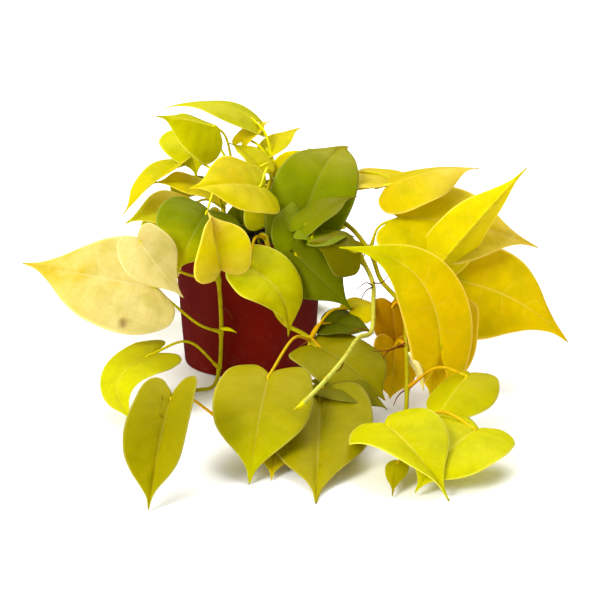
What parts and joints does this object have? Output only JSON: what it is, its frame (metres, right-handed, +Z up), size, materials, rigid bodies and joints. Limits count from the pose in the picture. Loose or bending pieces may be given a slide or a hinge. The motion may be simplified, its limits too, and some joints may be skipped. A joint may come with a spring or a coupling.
{
  "type": "potted heartleaf philodendron",
  "caption": "Trailing houseplant with heart-shaped leaves on long petioles, growing from soil in a round tapered nursery pot.",
  "frame": {"origin": "middle of the pot's underside, on the plane that it stands on", "axes": "+Z up along the pot's axis, -Y towards the plant's front, +X to the viewer's right"},
  "size_m": [0.3952, 0.4746, 0.2003],
  "materials": {
    "pot_plastic": "semi-gloss",
    "soil": "matt",
    "leaf_yellow": "satin",
    "leaf_lime": "satin",
    "leaf_green": "satin"
  },
  "bodies": {
    "root": {"pot": "pot_plastic", "soil": "soil", "vine_1": "leaf_yellow", "vine_2": "leaf_lime", "vine_3": "leaf_green", "vine_4": "leaf_yellow", "vine_5": "leaf_yellow", "vine_6": "leaf_yellow", "vine_7": "leaf_yellow", "vine_8": "leaf_lime", "vine_9": "leaf_lime", "vine_10": "leaf_green"}
  },
  "joints": []
}
